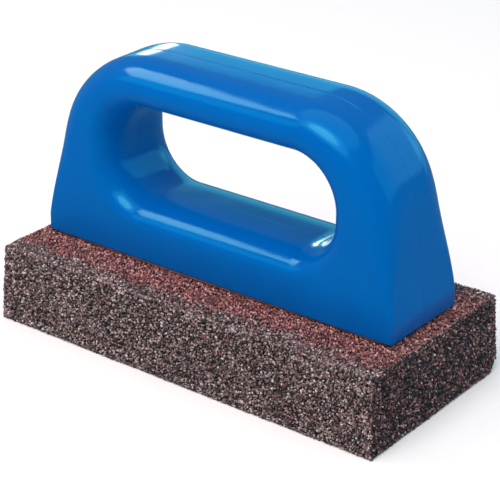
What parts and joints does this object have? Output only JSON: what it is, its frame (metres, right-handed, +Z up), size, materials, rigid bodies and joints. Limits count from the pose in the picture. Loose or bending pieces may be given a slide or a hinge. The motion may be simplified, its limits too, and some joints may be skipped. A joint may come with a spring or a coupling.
{
  "type": "rubbing brick with handle",
  "caption": "Block of coarse bonded abrasive with a hollow moulded D handle bonded on top, for rubbing down concrete, tile and stone by hand.",
  "frame": {"origin": "middle of the rubbing face, on the surface that the brick stands on", "axes": "+X along the brick, +Y across it towards the back, +Z up from the rubbing face to the handle"},
  "size_m": [0.152, 0.072, 0.0941],
  "materials": {
    "abrasive": "coarse open silicon carbide grit, vitrified",
    "adhesive": "cured filled epoxy, reddish brown",
    "handle_plastic": "smooth glossy blue moulded plastic"
  },
  "bodies": {
    "root": {"abrasive_brick": "abrasive", "adhesive_bed": "adhesive", "handle_front_half": "handle_plastic", "handle_back_half": "handle_plastic"}
  },
  "joints": []
}
